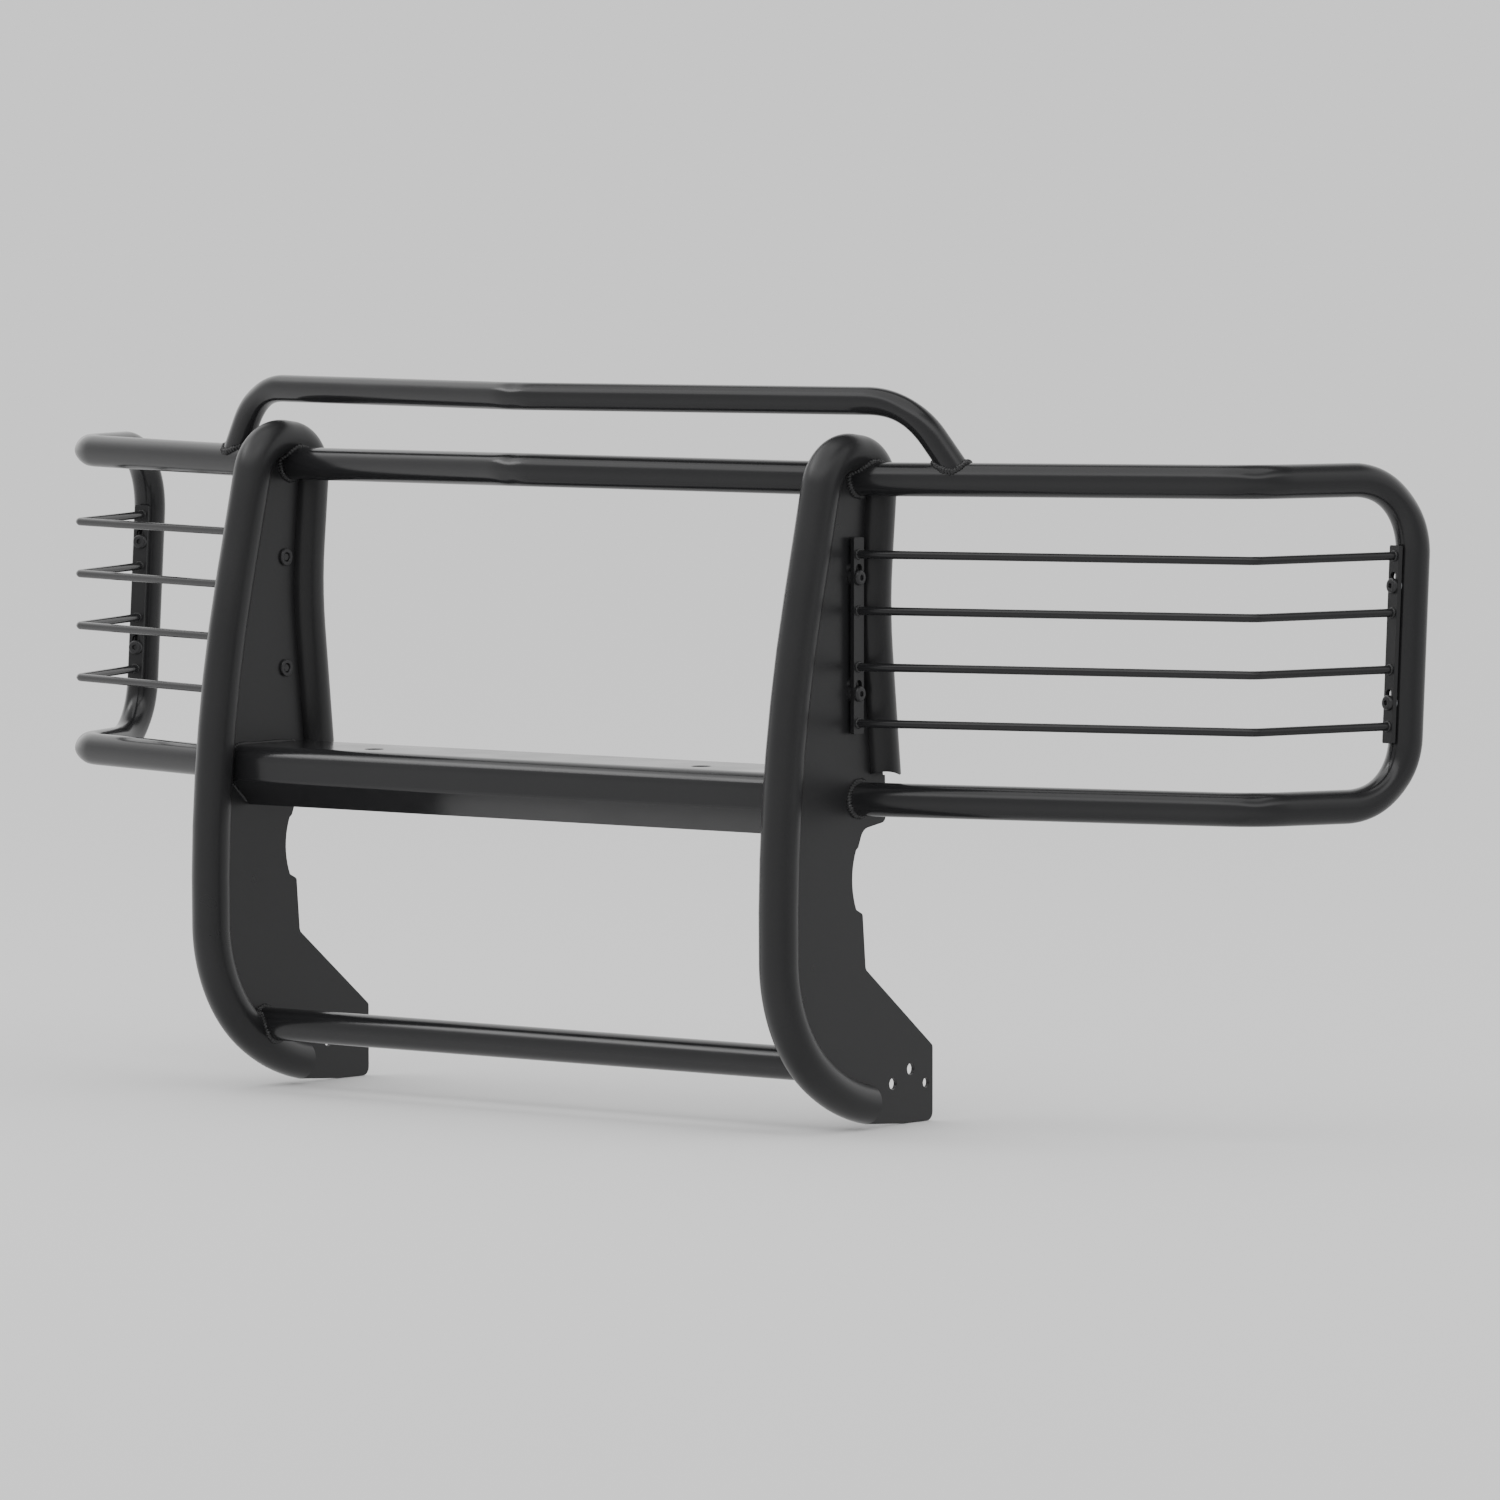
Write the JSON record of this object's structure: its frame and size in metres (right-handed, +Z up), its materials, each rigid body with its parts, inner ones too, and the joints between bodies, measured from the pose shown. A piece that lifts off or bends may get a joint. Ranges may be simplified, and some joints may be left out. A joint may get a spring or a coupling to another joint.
{
  "type": "front grille guard",
  "caption": "Tube and plate front guard: uprights joined by cross tubes, a lamp channel and a bowed hoop, with wrap-around wing tubes and brush rods at the sides.",
  "frame": {"origin": "on the vehicle's centre line, level with the lowest point of the feet, halfway along the guard's depth", "axes": "+X to the right-hand side as seen from in front of the vehicle, -Y forward away from the vehicle, +Z up"},
  "size_m": [1.9416, 0.511, 0.8328],
  "materials": {
    "black_powder_coat": "semi-gloss black powder coat on mild steel",
    "black_fasteners": "black-coated steel fasteners, a little duller than the frame",
    "plated_inserts": "zinc-plated steel inserts"
  },
  "bodies": {
    "root": {"left_brush_rod_1": "black_powder_coat", "left_brush_rod_2": "black_powder_coat", "left_brush_rod_3": "black_powder_coat", "left_brush_rod_4": "black_powder_coat", "left_inner_bolts": "black_fasteners", "left_inner_strip": "black_powder_coat", "left_outer_bolts": "black_fasteners", "left_outer_strip": "black_powder_coat", "left_press_nuts": "black_fasteners", "left_spacer_washers": "black_fasteners", "left_threaded_inserts": "plated_inserts", "left_upright_plate": "black_powder_coat", "left_upright_rim": "black_powder_coat", "left_wing_tube": "black_powder_coat", "light_bar_channel": "black_powder_coat", "lower_cross_tube": "black_powder_coat", "right_brush_rod_1": "black_powder_coat", "right_brush_rod_2": "black_powder_coat", "right_brush_rod_3": "black_powder_coat", "right_brush_rod_4": "black_powder_coat", "right_inner_bolts": "black_fasteners", "right_inner_strip": "black_powder_coat", "right_outer_bolts": "black_fasteners", "right_outer_strip": "black_powder_coat", "right_press_nuts": "black_fasteners", "right_spacer_washers": "black_fasteners", "right_threaded_inserts": "plated_inserts", "right_upright_plate": "black_powder_coat", "right_upright_rim": "black_powder_coat", "right_wing_tube": "black_powder_coat", "top_hoop": "black_powder_coat", "upper_cross_tube": "black_powder_coat"}
  },
  "joints": []
}
